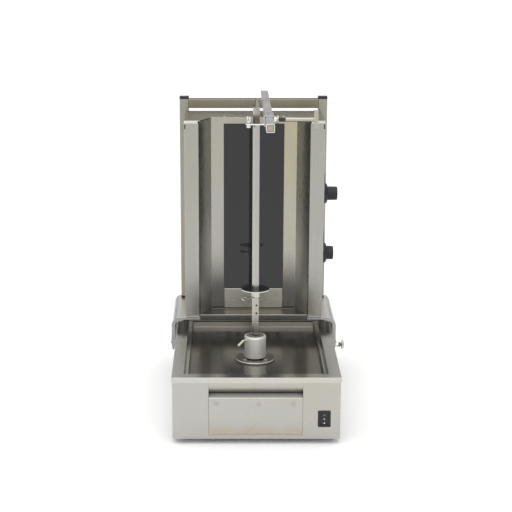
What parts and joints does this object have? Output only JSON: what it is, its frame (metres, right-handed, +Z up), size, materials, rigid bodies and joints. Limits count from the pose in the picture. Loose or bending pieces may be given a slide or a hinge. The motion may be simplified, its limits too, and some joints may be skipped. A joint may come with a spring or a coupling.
{
  "type": "vertical rotisserie broiler",
  "caption": "Countertop vertical broiler: a driven spit with a meat disc stands in a drip pan, before a heater tower with ceramic glass that slides on saddles along the base.",
  "frame": {"origin": "centre of the base's footprint on the surface it stands on", "axes": "+Z up, -Y to the front with the drawer and the switch, +X to the side with the heat knobs"},
  "size_m": [0.3755, 0.5477, 0.6597],
  "materials": {
    "base_housing": "brushed, satin",
    "base_floor_plate": "zinc plated sheet",
    "deck": "brushed, satin",
    "drip_pan": "polished, heat tinted",
    "rubber_feet": "matte",
    "foot_screws": "zinc plated",
    "grip_roll": "brushed, satin",
    "drawer_runners": "zinc plated sheet",
    "bearing_flange": "turned plate",
    "flange_screws": "zinc plated",
    "bearing_housing": "cast, machined faces",
    "spindle_bush": "sintered bronze",
    "gear_motor": "grey casting and black can",
    "motor_bracket": "zinc plated sheet",
    "run_capacitor": "drawn can",
    "terminal_block": "moulded",
    "base_cable_gland": "moulded",
    "switch_housing": "moulded",
    "drawer_front": "brushed, satin",
    "drawer_tray": "brushed",
    "rocker_button": null,
    "motor_pinion": "cut steel, oiled",
    "spindle_shaft": "ground",
    "drive_gear": "cut steel, oiled",
    "spit_socket": "turned, matte",
    "socket_lever_screw": "plated",
    "spit": "satin stainless",
    "meat_disc": "polished, bright edge",
    "disc_pin": "drawn wire",
    "left_saddle": "anodised extrusion",
    "right_saddle": "anodised extrusion",
    "glide_blocks": "machined",
    "left_post": "brushed, satin",
    "right_post": "brushed, satin",
    "post_caps": "moulded",
    "top_rail": "satin",
    "heater_housing": "brushed, satin",
    "left_wing": "brushed, satin",
    "right_wing": "brushed, satin",
    "glass_frame": "brushed, satin",
    "ceramic_glass": "dark ceramic glass",
    "lower_plate": "brushed, satin",
    "recess_floor": "satin",
    "lower_element": "oxidised ribbon",
    "upper_element": "oxidised ribbon",
    "element_trays": "pressed ceramic fibre",
    "insulation_board": "fibre board",
    "heat_regulators": "moulded",
    "rear_cover": "brushed, satin",
    "tower_cable_gland": "moulded",
    "casing_screws": "plated",
    "arm_tube": "satin",
    "saddle_thumbscrew": "nickel plated",
    "upper_knob": "moulded",
    "lower_knob": "moulded",
    "arm_collar": "brushed, satin",
    "clamp_plate": "brushed, satin",
    "collar_lock_handle": "turned",
    "clamp_wing_screw": "cast, plated"
  },
  "bodies": {
    "base": {"base_housing": "base_housing", "base_floor_plate": "base_floor_plate", "deck": "deck", "drip_pan": "drip_pan", "rubber_feet": "rubber_feet", "foot_screws": "foot_screws", "grip_roll": "grip_roll", "drawer_runners": "drawer_runners", "bearing_flange": "bearing_flange", "flange_screws": "flange_screws", "bearing_housing": "bearing_housing", "spindle_bush": "spindle_bush", "gear_motor": "gear_motor", "motor_bracket": "motor_bracket", "run_capacitor": "run_capacitor", "terminal_block": "terminal_block", "base_cable_gland": "base_cable_gland", "switch_housing": "switch_housing"},
    "drawer": {"drawer_front": "drawer_front", "drawer_tray": "drawer_tray"},
    "rocker": {"rocker_button": "rocker_button"},
    "motor_output": {"motor_pinion": "motor_pinion"},
    "spindle": {"spindle_shaft": "spindle_shaft", "drive_gear": "drive_gear", "spit_socket": "spit_socket"},
    "socket_lever": {"socket_lever_screw": "socket_lever_screw"},
    "spit_bar": {"spit": "spit"},
    "disc": {"meat_disc": "meat_disc"},
    "pin": {"disc_pin": "disc_pin"},
    "tower": {"left_saddle": "left_saddle", "right_saddle": "right_saddle", "glide_blocks": "glide_blocks", "left_post": "left_post", "right_post": "right_post", "post_caps": "post_caps", "top_rail": "top_rail", "heater_housing": "heater_housing", "left_wing": "left_wing", "right_wing": "right_wing", "glass_frame": "glass_frame", "ceramic_glass": "ceramic_glass", "lower_plate": "lower_plate", "recess_floor": "recess_floor", "lower_element": "lower_element", "upper_element": "upper_element", "element_trays": "element_trays", "insulation_board": "insulation_board", "heat_regulators": "heat_regulators", "rear_cover": "rear_cover", "tower_cable_gland": "tower_cable_gland", "casing_screws": "casing_screws", "arm_tube": "arm_tube"},
    "thumbscrew": {"saddle_thumbscrew": "saddle_thumbscrew"},
    "top_knob": {"upper_knob": "upper_knob"},
    "bottom_knob": {"lower_knob": "lower_knob"},
    "collar": {"arm_collar": "arm_collar", "clamp_plate": "clamp_plate"},
    "lock_handle": {"collar_lock_handle": "collar_lock_handle"},
    "wing_screw": {"clamp_wing_screw": "clamp_wing_screw"}
  },
  "joints": [
    {"name": "drawer_slide", "type": "slide", "parent": "base", "child": "drawer", "axis": [0, -1, 0], "range_m": [0, 0.15]},
    {"name": "rocker_tilt", "type": "hinge", "parent": "base", "child": "rocker", "pos_m": [0.1325, -0.261, 0.053], "axis": [1, 0, 0], "range_deg": [0, 16]},
    {"name": "pinion_spin", "type": "hinge", "parent": "base", "child": "motor_output", "pos_m": [0, -0.059, 0.08], "axis": [0, 0, 1], "continuous": true},
    {"name": "spit_spin", "type": "hinge", "parent": "base", "child": "spindle", "pos_m": [0, -0.113, 0.13], "axis": [0, 0, 1], "continuous": true},
    {"name": "socket_lever_turn", "type": "hinge", "parent": "spindle", "child": "socket_lever", "pos_m": [0, -0.113, 0.1665], "axis": [-0.8988, -0.4384, 0], "range_deg": [-120, 120]},
    {"name": "spit_lift", "type": "slide", "parent": "spindle", "child": "spit_bar", "axis": [0, 0, 1], "range_m": [0, 0.06]},
    {"name": "disc_lift", "type": "slide", "parent": "spit_bar", "child": "disc", "axis": [0, 0, 1], "range_m": [0, 0.2]},
    {"name": "disc_pin_pull", "type": "slide", "parent": "spit_bar", "child": "pin", "axis": [-0.8988, -0.4384, 0], "range_m": [0, 0.034]},
    {"name": "tower_slide", "type": "slide", "parent": "base", "child": "tower", "axis": [0, -1, 0], "range_m": [-0.035, 0.06]},
    {"name": "collar_slide", "type": "slide", "parent": "tower", "child": "collar", "axis": [0, -1, 0], "range_m": [-0.06, 0.035]},
    {"name": "lock_handle_turn", "type": "hinge", "parent": "collar", "child": "lock_handle", "pos_m": [0.024, -0.135, 0.6205], "axis": [1, 0, 0], "range_deg": [-90, 90]},
    {"name": "wing_screw_turn", "type": "hinge", "parent": "collar", "child": "wing_screw", "pos_m": [-0.0145, -0.113, 0.61], "axis": [0, 0, 1], "range_deg": [-180, 180]},
    {"name": "thumbscrew_turn", "type": "hinge", "parent": "tower", "child": "thumbscrew", "pos_m": [0.177, 0.057, 0.098], "axis": [1, 0, 0], "range_deg": [-180, 180]},
    {"name": "upper_knob_turn", "type": "hinge", "parent": "tower", "child": "top_knob", "pos_m": [0.1475, 0.135, 0.417], "axis": [1, 0, 0], "range_deg": [-300, 0]},
    {"name": "lower_knob_turn", "type": "hinge", "parent": "tower", "child": "bottom_knob", "pos_m": [0.1475, 0.135, 0.284], "axis": [1, 0, 0], "range_deg": [-300, 0]}
  ],
  "couplings": [
    {"joint": "pinion_spin", "follows": "spit_spin", "ratio": -3},
    {"joint": "collar_slide", "follows": "tower_slide", "ratio": -1}
  ]
}
